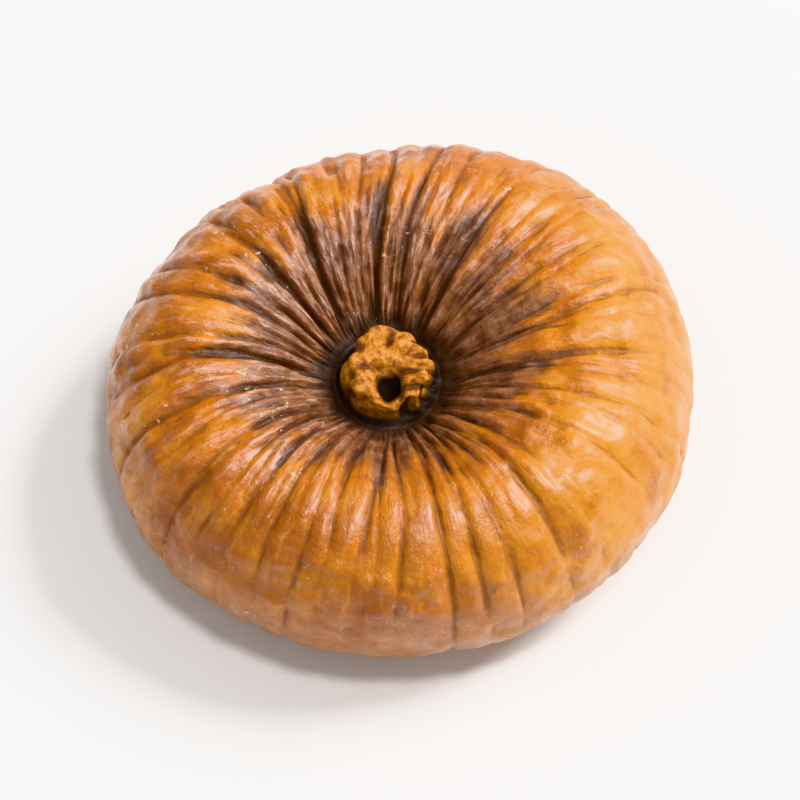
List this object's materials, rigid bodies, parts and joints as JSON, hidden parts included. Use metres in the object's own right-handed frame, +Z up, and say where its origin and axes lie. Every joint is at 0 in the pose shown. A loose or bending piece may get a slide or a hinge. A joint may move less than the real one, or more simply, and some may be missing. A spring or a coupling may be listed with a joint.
{
  "type": "dried fig",
  "caption": "Whole dried fig, pressed squat along its stem axis, with pleated skin, a sunken stem stub and a flat eye end that it rests on.",
  "frame": {"origin": "middle of the flat eye end, on the surface that the fig rests on", "axes": "+Z up along the stem axis, from the eye to the stem stub; +X along the fig's greater width, to the right in the main view; -Y towards the main view"},
  "size_m": [0.0482, 0.0448, 0.0197],
  "materials": {
    "fig_skin": "waxy, pleated dried fruit skin, amber on the flanks and purple brown in the pit"
  },
  "bodies": {
    "root": {"dried_fig": "fig_skin"}
  },
  "joints": []
}
